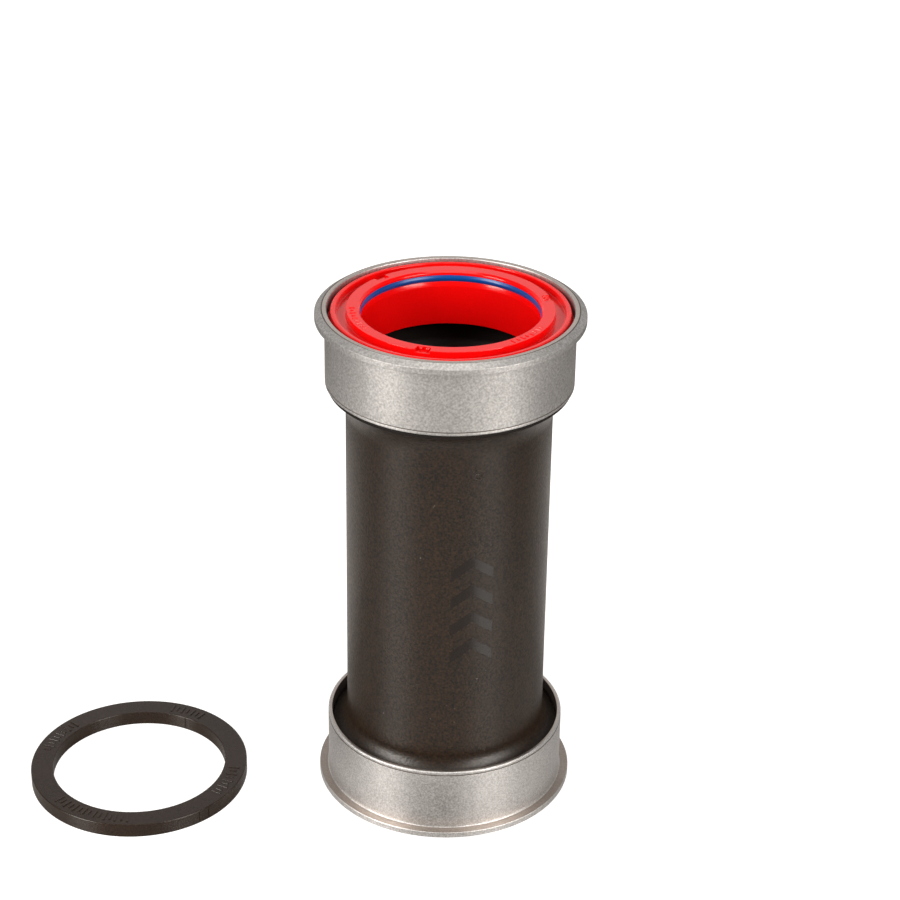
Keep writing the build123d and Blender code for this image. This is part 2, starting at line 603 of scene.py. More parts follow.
@dataclass(frozen=True)
class TurnedMetal:
    """Machined metal with circular tool marks over a fine grain."""

    name: str
    light: tuple = (0.69, 0.615, 0.565)
    dark: tuple = (0.40, 0.35, 0.31)
    roughness: tuple = (0.31, 0.44)
    span: tuple = (0.36, 0.66)
    fineness: float = 9000.0
    mark_shade: float = 0.36
    mark_relief: tuple = (0.006, 0.5)
    grain: float = 3600.0
    grain_shade: float = 0.40
    grain_relief: tuple = (0.008, 0.3)
    wear: float = 160.0
    worn_span: tuple = (0.3, 0.7)

    def build(self) -> bpy.types.Material:
        """Make the material.

        Returns:
            The material.
        """
        sheet = Sheet(self.name)
        marks = sheet.tool_marks(self.fineness)
        grain = sheet.noise(self.grain, 2.0)
        marked = sheet.between(marks, self.span, (0.0, self.mark_shade))
        shade = sheet.calculate("ADD", marked, sheet.between(grain, self.span, (0.0, self.grain_shade)))
        return sheet.dress_shader(
            Metallic=1.0, Base_Color=sheet.blend(shade, self.light, self.dark),
            Roughness=sheet.between(sheet.noise(self.wear, 3.0), self.worn_span, self.roughness),
            Normal=sheet.bump(grain, self.grain_relief, sheet.bump(marks, self.mark_relief)),
        )


@dataclass(frozen=True)
class MouldedPlastic:
    """Moulded plastic or rubber: fine surface grain and slow mottling, with a few specks."""

    name: str
    body: tuple
    shadow: tuple
    roughness: tuple
    gloss: float = 0.5
    grain: float = 4200.0
    grain_span: tuple = (0.34, 0.66)
    grain_share: float = 0.6
    flow: float = 85.0
    flow_span: tuple = (0.15, 0.85)
    relief: tuple = (0.006, 0.5)
    dust: float = 0.0
    dust_size: float = 1500.0
    dust_span: tuple = (0.875, 0.890)
    dust_colour: tuple = (0.30, 0.27, 0.24)

    def build(self) -> bpy.types.Material:
        """Make the material.

        Returns:
            The material.
        """
        sheet = Sheet(self.name)
        fine = sheet.noise(self.grain, 4.0)
        slow = sheet.between(sheet.noise(self.flow, 2.0), self.flow_span, (0.0, 1 - self.grain_share))
        quick = sheet.between(fine, self.grain_span, (0.0, self.grain_share))
        mottle = sheet.calculate("ADD", slow, quick)
        colour = sheet.blend(mottle, self.body, self.shadow)
        if self.dust:
            specks = sheet.noise(self.dust_size, 0.0)
            bare = sheet.between(specks, self.dust_span, (1.0, 1.0 - self.dust))
            colour = sheet.blend(bare, self.dust_colour, colour)
        return sheet.dress_shader(
            Specular_IOR_Level=self.gloss, Base_Color=colour,
            Roughness=sheet.between(mottle, (0.0, 1.0), self.roughness),
            Normal=sheet.bump(fine, self.relief),
        )


@dataclass(frozen=True)
class PolishedSteel:
    """Ground bearing steel, with faint circular marks."""

    name: str
    roughness: tuple
    light: tuple = (0.66, 0.66, 0.67)
    dark: tuple = (0.50, 0.50, 0.52)
    fineness: float = 12000.0
    shade_span: tuple = (0.35, 0.65)
    worn_span: tuple = (0.3, 0.7)
    relief: tuple = (0.002, 0.3)

    def build(self) -> bpy.types.Material:
        """Make the material.

        Returns:
            The material.
        """
        sheet = Sheet(self.name)
        marks = sheet.tool_marks(self.fineness)
        shade = sheet.between(marks, self.shade_span, (0.0, 1.0))
        return sheet.dress_shader(
            Metallic=1.0, Base_Color=sheet.blend(shade, self.light, self.dark),
            Roughness=sheet.between(marks, self.worn_span, self.roughness),
            Normal=sheet.bump(marks, self.relief),
        )


class Finishes:
    """Every material of the bracket, made once."""

    def __init__(self) -> None:
        """Make the materials."""
        self.cup_body = {
            End.UPPER: BlastedMetal("blasted_aluminium").build(),
            # the lower cup's aluminium is painted lighter than the upper's, standing in for the light
            # it catches, and carries a painted shade patch on its front
            End.LOWER: BlastedMetal(
                "lower_cup_painted_light_and_shade_aluminium",
                light=(0.81, 0.795, 0.79),
                dark=(0.33, 0.32, 0.315),
                roughness=(0.43, 0.54),
                painted_grazing_shade=(1.0, 1.0, 1.0, 1.0),
                grain=3600.0,
                painted_shade_patch=PaintedShadePatch((-0.0012, -0.0205, -0.0385)),
            ).build(),
        }
        self.cup_face = TurnedMetal("turned_aluminium").build()
        self.flange_back = TurnedMetal(
            "dull_turned_aluminium", light=(0.47, 0.41, 0.37), dark=(0.28, 0.24, 0.21),
            roughness=(0.41, 0.54),
        ).build()
        # painted shade: a dark metal for the rim's fine groove and the fine line above the lead-in
        # edge, standing in for the shade in these narrow recesses
        self.groove_painted_shade = TurnedMetal(
            "groove_painted_shade_aluminium", light=(0.24, 0.215, 0.20), dark=(0.14, 0.12, 0.11),
            roughness=(0.55, 0.68),
        ).build()
        self.steel = PolishedSteel("ground_bearing_steel", roughness=(0.12, 0.22)).build()
        self.ball_steel = PolishedSteel("polished_ball_steel", roughness=(0.04, 0.14)).build()
        self.cage = MouldedPlastic(
            "cage_nylon", body=(0.60, 0.52, 0.36), shadow=(0.48, 0.40, 0.26), roughness=(0.41, 0.50),
        ).build()
        self.black_rubber = MouldedPlastic(
            "black_rubber", body=(0.018, 0.017, 0.016), shadow=(0.010, 0.010, 0.010),
            roughness=(0.51, 0.60), gloss=0.4,
        ).build()
        self.red_plastic = MouldedPlastic(
            "red_shield_plastic", body=(0.78, 0.003, 0.003), shadow=(0.69, 0.001, 0.001),
            roughness=(0.13, 0.22), relief=(0.003, 0.3),
        ).build()
        self.blue_rubber = MouldedPlastic(
            "blue_seal_rubber", body=(0.0, 0.056, 0.27), shadow=(0.0, 0.043, 0.21),
            roughness=(0.26, 0.35), relief=(0.003, 0.5),
        ).build()
        self.tube_nylon = MouldedPlastic(
            "dark_tube_nylon", body=(0.030, 0.0165, 0.0085), shadow=(0.001, 0.0006, 0.0003),
            roughness=(0.34, 0.43), grain=2500.0, grain_share=0.85, relief=(0.045, 1.0), dust=0.25,
        ).build()
        # painted shade: a darker, duller nylon for the bore and the shoulder's lip, standing in for the
        # shade inside the tube and under the cup
        self.bore_and_lip_painted_shade = MouldedPlastic(
            "bore_and_lip_painted_shade_nylon", body=(0.008, 0.005, 0.004), shadow=(0.005, 0.003, 0.002),
            roughness=(0.61, 0.70), gloss=0.25,
        ).build()
        self.gloss_print = MouldedPlastic(
            "gloss_tube_print", body=(0.008, 0.004, 0.002), shadow=(0.005, 0.002, 0.001),
            roughness=(0.09, 0.18), gloss=0.65, relief=(0.003, 0.3),
        ).build()
        self.spacer_plastic = MouldedPlastic(
            "dark_spacer_plastic", body=(0.027, 0.0160, 0.0100), shadow=(0.010, 0.0055, 0.0035),
            roughness=(0.20, 0.29), gloss=0.36, grain=2500.0, relief=(0.022, 0.9),
        ).build()


# ------------------------------------------------------------------ geometry node trees
class Pattern(NodeTree):
    """A Geometry Nodes tree built in the script, run on an empty piece, and made plain mesh."""

    def __init__(self, name: str, **inputs: str) -> None:
        """Start a tree.

        Args:
            name: its name.
            inputs: its inputs, named with underscores for spaces, each with its kind, such as
                Float, Int, Vector or Material.
        """
        super().__init__(bpy.data.node_groups.new(name, "GeometryNodeTree"))
        sockets = self.tree.interface
        sockets.new_socket("Geometry", in_out="OUTPUT", socket_type="NodeSocketGeometry")
        self.identifiers: dict[str, str] = {}
        for key, kind in inputs.items():
            label = key.replace("_", " ")
            socket = sockets.new_socket(label, in_out="INPUT", socket_type=f"NodeSocket{kind}")
            self.identifiers[key] = socket.identifier
        self.source = self.node("NodeGroupInput")
        self.output = self.node("NodeGroupOutput")

    def value(self, given: object) -> object:
        """What a socket gets: text names one of the tree's inputs."""
        return self.source.outputs[given] if isinstance(given, str) else given

    def place_on(self, points: Socket, shape: Socket, **inputs: object) -> Socket:
        """Set a copy of a shape on every point, turned and scaled as the inputs say."""
        node = self.node("GeometryNodeInstanceOnPoints", Points=points, Instance=shape, **inputs)
        return node.outputs["Instances"]

    def finish(self, geometry: Socket) -> "Pattern":
        """End the tree: realise, shade smooth and set the material.

        Args:
            geometry: what the tree has made.

        Returns:
            The tree, ready to run.
        """
        real = self.node("GeometryNodeRealizeInstances", Geometry=geometry)
        shaded = self.node("GeometryNodeSetShadeSmooth", Geometry=real.outputs["Geometry"])
        final = self.node(
            "GeometryNodeSetMaterial", Geometry=shaded.outputs["Geometry"], Material="Finish"
        )
        self.fill(self.output, Geometry=final.outputs["Geometry"])
        return self

    def make(self, name: str, **values: object) -> Piece:
        """Run the tree on an empty piece.

        Args:
            name: the piece's name.
            values: the tree's inputs, named with underscores for spaces.

        Returns:
            The piece, as a plain mesh.
        """
        piece = link(name, bpy.data.meshes.new(name))
        modifier = piece.modifiers.new("pattern", "NODES")
        modifier.node_group = self.tree
        for key, value in values.items():
            modifier[self.identifiers[key]] = value
        apply_modifiers(piece)
        return piece


def ring_of_balls() -> Pattern:
    """The tree that sets equal balls evenly round a circle.

    Returns:
        The tree.
    """
    tree = Pattern(
        "ring_of_balls", Count="Int", First_Angle="Float", Circle_Radius="Float", Height="Float",
        Ball_Radius="Float", Fineness="Int", Finish="Material",
    )
    circle = tree.node("GeometryNodeMeshCircle", Vertices="Count", Radius="Circle Radius")
    placed = tree.node(
        "GeometryNodeTransform", Geometry=circle.outputs["Mesh"], Translation=tree.vector(Z="Height"),
        Rotation=tree.vector(Z="First Angle"),
    )
    rows = tree.calculate("MULTIPLY", "Fineness", 0.5)
    ball = tree.node("GeometryNodeMeshUVSphere", Segments="Fineness", Rings=rows, Radius="Ball Radius")
    return tree.finish(tree.place_on(placed.outputs["Geometry"], ball.outputs["Mesh"]))


def marks_on_arc() -> Pattern:
    """The tree that sets raised, round-topped radial bars along an arc, long and short in turn.

    Returns:
        The tree.
    """
    unevenness, bar_sides = 0.08, 12
    tree = Pattern(
        "marks_on_arc", Count="Int", First_Angle="Float", Step="Float", Circle_Radius="Float",
        Centre="Vector", Long_Bar="Float", Short_Bar="Float", Bar_Width="Float",
        Bar_Height="Float", Seed="Int", Finish="Material",
    )
    row = tree.node("GeometryNodeMeshLine", Count="Count")
    index = tree.node("GeometryNodeInputIndex").outputs["Index"]
    spread = tree.node(
        "FunctionNodeRandomValue", {"data_type": "FLOAT"}, Seed="Seed", i2=-unevenness, i3=unevenness
    )
    uneven = tree.calculate("ADD", index, spread.outputs[1])
    angle = tree.calculate("ADD", tree.calculate("MULTIPLY", uneven, "Step"), "First Angle")
    along = tree.calculate("MULTIPLY", tree.calculate("COSINE", angle), "Circle Radius")
    across = tree.calculate("MULTIPLY", tree.calculate("SINE", angle), "Circle Radius")
    spot = tree.vector(X=along, Y=across)
    place = tree.node("ShaderNodeVectorMath", {"operation": "ADD"}, i0=spot, i1="Centre")
    points = tree.node(
        "GeometryNodeSetPosition", Geometry=row.outputs["Mesh"], Position=place.outputs["Vector"]
    )
    spine = tree.node(
        "GeometryNodeCurvePrimitiveLine", Start=tree.vector(X=-0.5), End=tree.vector(X=0.5)
    )
    section = tree.node("GeometryNodeCurvePrimitiveCircle", Resolution=bar_sides, Radius=0.5)
    bar = tree.node(
        "GeometryNodeCurveToMesh", Curve=spine.outputs["Curve"],
        Profile_Curve=section.outputs["Curve"], Fill_Caps=True,
    )
    odd = tree.calculate("MODULO", index, 2.0)
    gap = tree.calculate("SUBTRACT", "Short Bar", "Long Bar")
    length = tree.calculate("ADD", "Long Bar", tree.calculate("MULTIPLY", gap, odd))
    bars = tree.place_on(
        points.outputs["Geometry"], bar.outputs["Mesh"], Rotation=tree.vector(Z=angle),
        Scale=tree.vector(X=length, Y="Bar Width", Z="Bar Height"),
    )
    return tree.finish(bars)


def chevrons_on_tube() -> Pattern:
    """The tree that prints a column of chevrons on an upright round tube.

    Returns:
        The tree.
    """
    columns, rows, weld = 33, 5, 1e-6
    tree = Pattern(
        "chevrons_on_tube", Count="Int", Spacing="Float", Width="Float", Stroke="Float",
        Rise="Float", Tube_Radius="Float", Print_Height="Float", Azimuth="Float",
        Middle="Float", Finish="Material",
    )
    flat = tree.node(
        "GeometryNodeMeshGrid", Size_X="Width", Size_Y="Stroke", Vertices_X=columns, Vertices_Y=rows
    )
    position = tree.node("GeometryNodeInputPosition").outputs["Position"]
    parts = tree.node("ShaderNodeSeparateXYZ", Vector=position).outputs
    side = tree.calculate("ABSOLUTE", parts["X"])
    fall = tree.calculate("DIVIDE", side, tree.calculate("MULTIPLY", "Width", 0.5))
    lowered = tree.calculate("SUBTRACT", parts["Y"], tree.calculate("MULTIPLY", fall, "Rise"))
    chevron = tree.node(
        "GeometryNodeSetPosition", Geometry=flat.outputs["Mesh"],
        Position=tree.vector(X=parts["X"], Z=lowered),
    )
    length = tree.calculate("MULTIPLY", "Spacing", tree.calculate("SUBTRACT", "Count", 1.0))
    foot = tree.calculate("SUBTRACT", "Middle", tree.calculate("MULTIPLY", length, 0.5))
    column = tree.node(
        "GeometryNodeMeshLine", Count="Count", Start_Location=tree.vector(Z=foot),
        Offset=tree.vector(Z="Spacing"),
    )
    copies = tree.place_on(column.outputs["Mesh"], chevron.outputs["Geometry"])
    sheet = tree.node("GeometryNodeRealizeInstances", Geometry=copies).outputs["Geometry"]
    raised = tree.node(
        "GeometryNodeExtrudeMesh", Mesh=sheet, Offset=tree.vector(Y=-1.0), Offset_Scale="Print Height",
        Individual=False,
    )
    back = tree.node("GeometryNodeFlipFaces", Mesh=sheet)
    both = tree.node("GeometryNodeJoinGeometry", Geometry=back.outputs["Mesh"])
    tree.fill(both, Geometry=raised.outputs["Mesh"])
    shell = tree.node("GeometryNodeMergeByDistance", Geometry=both.outputs["Geometry"], Distance=weld)
    reach = tree.calculate("SUBTRACT", "Tube Radius", parts["Y"])
    turn = tree.calculate("DIVIDE", parts["X"], "Tube Radius")
    turn = tree.calculate("ADD", turn, "Azimuth")
    wrapped = tree.vector(
        X=tree.calculate("MULTIPLY", reach, tree.calculate("COSINE", turn)),
        Y=tree.calculate("MULTIPLY", reach, tree.calculate("SINE", turn)), Z=parts["Z"],
    )
    rolled = tree.node("GeometryNodeSetPosition", Geometry=shell.outputs["Geometry"], Position=wrapped)
    return tree.finish(rolled.outputs["Geometry"])


class Patterns:
    """The Geometry Nodes trees, each built once."""

    def __init__(self) -> None:
        """Build the trees."""
        self.balls = ring_of_balls()
        self.marks = marks_on_arc()
        self.chevrons = chevrons_on_tube()


@dataclass(frozen=True)
class Ticks:
    """The sizes of a run of raised ticks, in degrees and millimetres."""

    step: float
    long_bar: float
    short_bar: float
    width: float
    height: float

    def inputs(self) -> dict[str, float]:
        """The sizes as the marks tree takes them."""
        return {
            "Step": math.radians(self.step), "Long_Bar": self.long_bar * MM,
            "Short_Bar": self.short_bar * MM, "Bar_Width": self.width * MM,
            "Bar_Height": self.height * MM,
        }


@dataclass
class EndAssembly:
    """A sub-assembly that both ends have. Its pieces are drawn at the upper end."""

    end: End
    finishes: Finishes
    patterns: Patterns

    def hand_over(self, piece: Piece, body: str, slot: str, *nodes: str) -> None:
        """Turn a finished piece to its own end, in its mesh, and seat it there.

        Args:
            piece: the finished piece.
            body: the body it moves with, without the end's name.
            slot: the record's material slot.
            nodes: the nodes it stands for, without the end's name.
        """
        piece.data.transform(self.end.turn)
        piece.data.update()
        name = self.end.value
        seat(piece, f"{name}_{body}", slot, *(f"{name}_{node}" for node in nodes))


# ------------------------------------------------------------------ the cup
@dataclass
class Cup(EndAssembly):
    """A flanged aluminium cup. Depths are measured inboard from its rim face."""

    flange_thickness: float = 1.75
    flange_chamfer: float = 0.08
    bevel: tuple[float, float] = (1.15, 0.75)
    body_radius: float = 20.5
    root_fillet: float = 0.14
    root_reach: tuple[float, float] = (0.05, 0.5)
    recess_radius: float = 20.13
    groove_depth: float = 0.12
    groove_width: float = 0.18
    groove_inset: float = 0.02
    groove_lip: float = 0.03
    skirt_bore: float = 19.8
    lead_in: tuple[float, float] = (0.66, 0.22)
    lead_in_line: float = 0.20
    lead_in_step: float = 0.04
    lead_in_end: tuple[float, float] = (0.01, 0.16)
    bearing_radius: float = 19.0
    lip_bore: float = 18.3
    seat_depths: tuple[float, float, float] = (2.3, 8.3, 8.8)
    bored_below: float = 20.1
    back_inset: float = 0.2
    groove_shade: float = 0.1
    wall_margin: float = 0.02
    facing: float = 0.9
    margin: float = 0.01
    rim: float = field(init=False)
    flange_radius: float = field(init=False)
    depth: float = field(init=False)

    def __post_init__(self) -> None:
        """Read the outer sizes from the frame."""
        low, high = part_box("upper_cup")
        self.rim = high.z / MM
        self.flange_radius = high.x / MM
        self.depth = (high.z - low.z) / MM

    @property
    def groove_circle(self) -> float:
        """Radius of the fine groove between the rim's flat and its bevel."""
        return self.flange_radius - self.bevel[0] - self.groove_inset

    @property
    def line_depth(self) -> float:
        """Depth of the middle of the fine line above the lead-in edge."""
        return self.depth - self.lead_in[0]

    def at(self, depth: float) -> float:
        """Height of a depth below the rim face."""
        return self.rim - depth

    def outline(self) -> list[Corner]:
        """The cup's section, from the rim face round the outside and back up the inside.

        Returns:
            Its corners.
        """
        edge, body, back = self.flange_radius, self.body_radius, self.flange_thickness
        groove, half_groove = self.groove_circle, self.groove_width / 2
        chamfer, half_line = self.flange_chamfer, self.lead_in_line / 2
        line_top = self.at(self.line_depth - half_line)
        line_foot = self.at(self.line_depth + half_line)
        bottom = self.at(self.depth)
        outboard, inboard, ledge = (self.at(depth) for depth in self.seat_depths)
        return [
            Corner(self.recess_radius, self.rim, WIDE),
            Corner(groove - half_groove, self.rim, CRISP),
            Corner(groove, self.at(self.groove_depth), CRISP),
            Corner(groove + half_groove, self.at(self.groove_lip), CRISP),
            Corner(edge, self.at(self.bevel[1]), FINE),
            Corner(edge, self.at(back - chamfer), CRISP),
            Corner(edge - chamfer, self.at(back), CRISP),
            Corner(body + self.root_reach[0], self.at(back), self.root_fillet),
            Corner(body, self.at(back + self.root_reach[1]), FINE),
            Corner(body, line_top, SCORED),
            Corner(body - half_line, line_top, SCORED),
            Corner(body - half_line, line_foot, SCORED),
            Corner(body - self.lead_in_step, line_foot, SCORED),
            Corner(body - self.lead_in_end[0], self.at(self.depth - self.lead_in_end[1]), SOFT),
            Corner(body - self.lead_in[1], bottom, SOFT),
            Corner(self.skirt_bore, bottom, SOFT),
            Corner(self.skirt_bore, ledge, NEAT),
            Corner(self.lip_bore, ledge, EASED),
            Corner(self.lip_bore, inboard, EASED),
            Corner(self.bearing_radius, inboard, FINE),
            Corner(self.bearing_radius, outboard, SOFT),
            Corner(self.recess_radius, outboard, SOFT),
        ]

    def surface(self, face: bpy.types.MeshPolygon) -> CupSurface:
        """Tell which surface a face belongs to, before the cup is turned to its end.

        Args:
            face: a face of the cup.

        Returns:
            Its surface.
        """
        across = math.hypot(face.center.x, face.center.y) / MM
        height = face.center.z / MM
        # the fine line above the lead-in edge and the rim's fine groove take painted shade, a dark
        # metal for the shade in these narrow recesses
        by_line = abs(height - self.at(self.line_depth)) < self.lead_in_line / 2 + self.margin
        under_wall = self.body_radius - self.lead_in_line < across < self.body_radius - self.wall_margin
        by_groove = abs(across - self.groove_circle) < self.groove_width / 2 + self.margin
        groove_floor = self.at(self.groove_depth + self.groove_shade)
        under_rim = groove_floor < height < self.at(self.groove_lip / 2)
        if (by_line and under_wall) or (by_groove and under_rim):
            return CupSurface.GROOVE
        rim_flat = across < self.flange_radius - self.bevel[0] and face.normal.z > self.facing
        if across < self.bored_below or rim_flat:
            return CupSurface.MACHINED
        if across > self.body_radius + self.back_inset and face.normal.z < -self.facing:
            return CupSurface.FLANGE_BACK
        return CupSurface.BODY

    def build(self) -> None:
        """Turn the cup, mark its machined faces, and hand it over."""
        finishes = self.finishes
        body = finishes.cup_body[self.end]
        others = (finishes.cup_face, finishes.flange_back, finishes.groove_painted_shade)
        piece = turned_piece(f"cup_{self.end.value}", self.outline(), body, *others)
        for face in piece.data.polygons:
            face.material_index = self.surface(face)
        self.hand_over(piece, "cup_assembly", "cup_aluminium", "cup")


# ------------------------------------------------------------------ the bearing
@dataclass
class Bearing(EndAssembly):
    """A thin-section ball bearing: two races, balls, cage and two rubber seals."""

    bore: float = 15.0
    race: float = 1.15
    fit: float = 0.01
    ball_radius: float = 1.389
    ball_count: int = 24
    ball_fineness: int = 28
    track_clearance: float = 0.04
    track_steps: int = 14
    seal_gap: float = 0.15
    seal_lip: tuple[float, float] = (0.25, 0.15)
    seal_chamfer: float = 0.12
    rib_foot: float = 0.35
    rib_top: float = 0.25
    rib_dip: float = 0.08
    low: float = field(init=False)
    high: float = field(init=False)
    outside: float = field(init=False)

    def __post_init__(self) -> None:
        """Read the bearing's place from the frame."""
        low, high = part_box("upper_outer_race")
        self.low, self.high = low.z / MM, high.z / MM
        self.outside = high.x / MM

    @property
    def pitch(self) -> float:
        """Radius of the circle that the balls' centres lie on."""
        return (self.bore + self.outside + self.fit) / 2

    @property
    def middle(self) -> float:
        """Height of the balls' centres."""
        return (self.low + self.high) / 2

    def track(self, face: float) -> list[Corner]:
        """The ball track's arc across a race's face, from low to high.

        Args:
            face: the radius of the face that the track is cut into.

        Returns:
            Corners along the arc.
        """
        radius = self.ball_radius + self.track_clearance
        reach = math.acos(abs(self.pitch - face) / radius)
        side = 1 if face > self.pitch else -1
        arc = []
        for step in range(self.track_steps + 1):
            angle = -reach + 2 * reach * step / self.track_steps
            across = self.pitch + side * radius * math.cos(angle)
            arc.append(Corner(across, self.middle + radius * math.sin(angle), SHARP))
        return arc

    def races(self) -> None:
        """Turn both races."""
        inner_face = self.bore + self.race
        outer_face = self.outside - self.race + self.fit
        inner = [
            Corner(self.bore, self.low, WIDE),
            Corner(inner_face, self.low, SOFT),
            *self.track(inner_face),
            Corner(inner_face, self.high, SOFT),
            Corner(self.bore, self.high, WIDE),
        ]
        outer = [
            Corner(self.outside, self.low, WIDE),
            Corner(self.outside, self.high, WIDE),
            Corner(outer_face, self.high, SOFT),
            *reversed(self.track(outer_face)),
            Corner(outer_face, self.low, SOFT),
        ]
        for label, corners, body in (
            ("inner_race", inner, "rotating_shield"),
            ("outer_race", outer, "cup_assembly"),
        ):
            piece = turned_piece(f"{label}_{self.end.value}", corners, self.finishes.steel)
            self.hand_over(piece, body, "bearing_steel", label)

    def balls(self) -> None:
        """Set the balls round the pitch circle."""
        piece = self.patterns.balls.make(
            f"ball_set_{self.end.value}", Count=self.ball_count, First_Angle=math.pi / self.ball_count,
            Circle_Radius=self.pitch * MM, Height=self.middle * MM, Ball_Radius=self.ball_radius * MM,
            Fineness=self.ball_fineness, Finish=self.finishes.ball_steel,
        )
        self.hand_over(piece, "ball_set", "ball_steel", "balls")

    def seals(self) -> None:
        """Turn the two rubber seals, each with a rib and a lip towards the inner race."""
        inside = self.bore + self.race + self.seal_gap
        reach, rise = self.seal_lip
        for side in ("outboard", "inboard"):
            low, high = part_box(f"upper_{side}_bearing_seal")
            bottom, top, outside = low.z / MM, high.z / MM, high.x / MM
            rib = (inside + outside) / 2
            corners = [
                Corner(inside, bottom + rise, FINE),
                Corner(inside + reach, bottom, FINE),
                Corner(outside, bottom, EASED),
                Corner(outside, top, EASED),
                Corner(rib + self.rib_foot, top, FINE),
                Corner(rib + self.rib_top, top - self.rib_dip, FINE),
                Corner(rib - self.rib_top, top - self.rib_dip, FINE),
                Corner(rib - self.rib_foot, top, FINE),
                Corner(inside + self.seal_chamfer, top, FINE),
                Corner(inside, top - self.seal_chamfer, FINE),
            ]
            name = f"{side}_seal_{self.end.value}"
            piece = turned_piece(name, corners, self.finishes.black_rubber)
            self.hand_over(piece, "cup_assembly", "bearing_rubber", f"{side}_bearing_seal")

    def build(self) -> None:
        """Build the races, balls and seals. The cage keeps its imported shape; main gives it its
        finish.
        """
        self.races()
        self.balls()
        self.seals()


# ------------------------------------------------------------------ the shield
@dataclass
class Shield(EndAssembly):
    """The red shield and its blue spindle seal, which turn with the spindle."""

    collar: tuple[float, float] = (14.9, 16.94)
    collar_edges: tuple[float, float] = (0.12, 0.09)
    collar_lead: float = 0.14
    collar_draft: float = 0.03
    mouth_radius: float = 14.65
    mouth_lead: tuple[float, float] = (0.04, 0.42)
    gutter: tuple[float, float] = (18.7, 1.4)
    gutter_wall: tuple[float, float] = (0.08, 0.02)
    gutter_fillets: tuple[float, float, float] = (0.12, 0.14, 0.16)
    ridge: tuple[float, float] = (0.5, 0.2)
    ridge_crown: float = 0.48
    ridge_falls: tuple[float, float, float] = (0.06, 0.10, 0.75)
    ridge_edge: float = 0.32
    ridge_roundings: tuple[float, float, float] = (0.25, 0.22, 0.15)
    underside: float = 2.0
    race_face: float = 2.3
    hub_radius: float = 16.14
    sleeve: tuple[float, float] = (14.53, 14.98)
    seal_groove: tuple[float, float, float] = (15.37, 0.8, 1.95)
    groove_lead: tuple[float, float] = (0.20, 0.85)
    groove_lead_rounding: float = 0.8
    notch_count: int = 3
    notch_angle: float = 15.0
    notch_size: tuple[float, float, float] = (1.4, 2.4, 0.5)
    notch_overrun: float = 0.5
    notch_rounding: float = 0.45
    nub_radius: float = 0.36
    nub_rise: float = 0.03
    nub_inset: float = 0.12
    nub_spread: float = 0.24
    nub_fineness: int = 16
    mark_runs: tuple = ((183.0, 9), (-52.0, 8))
    mark_shift: float = 0.1
    ticks: Ticks = Ticks(step=3.6, long_bar=1.0, short_bar=0.6, width=0.28, height=0.24)
    seal_bore: float = 14.51
    seal_drop: float = 0.2
    seal_shoulders: tuple[float, float] = (0.22, 0.26)
    seal_crown: float = 0.45
    face: float = field(init=False)
    rim: float = field(init=False)
    depth: float = field(init=False)
    radius: float = field(init=False)

    def __post_init__(self) -> None:
        """Read the outer sizes from the frame."""
        self.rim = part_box("upper_cup")[1].z / MM
        low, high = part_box("upper_shield")
        self.face = high.z / MM
        self.depth = self.rim - low.z / MM
        self.radius = high.x / MM

    def at(self, depth: float) -> float:
        """Height of a depth below the rim face."""
        return self.rim - depth

    def outline(self) -> list[Corner]:
        """The shield's section: mouth, collar, gutter, ridge, back and sleeve.

        Returns:
            Its corners.
        """
        inner, outer = self.collar
        gutter, gutter_floor = self.gutter[0], self.at(self.gutter[1])
        crest = self.at(self.ridge[0] - self.ridge[1])
        groove, seal_top, seal_bottom = self.seal_groove
        bore, outside = self.sleeve
        lift, drop, side = self.ridge_falls
        low, middle, high = self.gutter_fillets
        crown, edge, wall = self.ridge_roundings
        bottom, back = self.at(self.depth), self.at(self.underside)
        return [
            Corner(self.mouth_radius, self.at(seal_top), FINE),
            Corner(self.mouth_radius + self.mouth_lead[0], self.at(self.mouth_lead[1]), WIDE),
            Corner(inner + self.collar_lead, self.face, self.collar_edges[0]),
            Corner(outer, self.face, self.collar_edges[1]),
            Corner(outer + self.collar_draft, gutter_floor, low),
            Corner(gutter - self.gutter_wall[0], gutter_floor, middle),
            Corner(gutter - self.gutter_wall[1], crest - lift, high),
            Corner(gutter + self.ridge_crown, crest, crown),
            Corner(self.radius - self.ridge_edge, crest - drop, edge),
            Corner(self.radius, self.at(self.ridge[0] + side), wall),
            Corner(self.radius, back, SOFT),
            Corner(self.hub_radius, back, EASED),
            Corner(self.hub_radius, self.at(self.race_face), FINE),
            Corner(outside, self.at(self.race_face), FINE),
            Corner(outside, bottom, ROUNDED),
            Corner(bore, bottom, FULL),
            Corner(bore, self.at(seal_bottom + self.groove_lead[1]), self.groove_lead_rounding),
            Corner(bore + self.groove_lead[0], self.at(seal_bottom), FINE),
            Corner(groove, self.at(seal_bottom), FINE),
            Corner(groove, self.at(seal_top), FINE),
        ]

    def notch_cutter(self) -> Piece:
        """The rounded blocks that cut the notches into the collar's face.

        Returns:
            One object that holds them all.
        """
        length, width, depth = self.notch_size
        size = Vector((length + self.notch_overrun, width, 2 * depth)) * MM
        out = (self.collar[1] - length) * MM + size.x / 2
        places = []
        for notch in range(self.notch_count):
            angle = math.radians(self.notch_angle) + TURN * notch / self.notch_count
            turn = Matrix.Rotation(angle, 4, "Z")
            places.append(turn @ Matrix.Translation((out, 0, self.face * MM)))
        return blocks("notch_cutter", size, self.notch_rounding * MM, places)

    def shell(self) -> None:
        """Turn the shield and cut its notches."""
        piece = lathe(f"shield_{self.end.value}", rounded_outline(self.outline()))
        cut(piece, self.notch_cutter())
        smooth(piece)
        dress(piece, self.finishes.red_plastic)
        self.hand_over(piece, "rotating_shield", "shield_plastic", "shield")

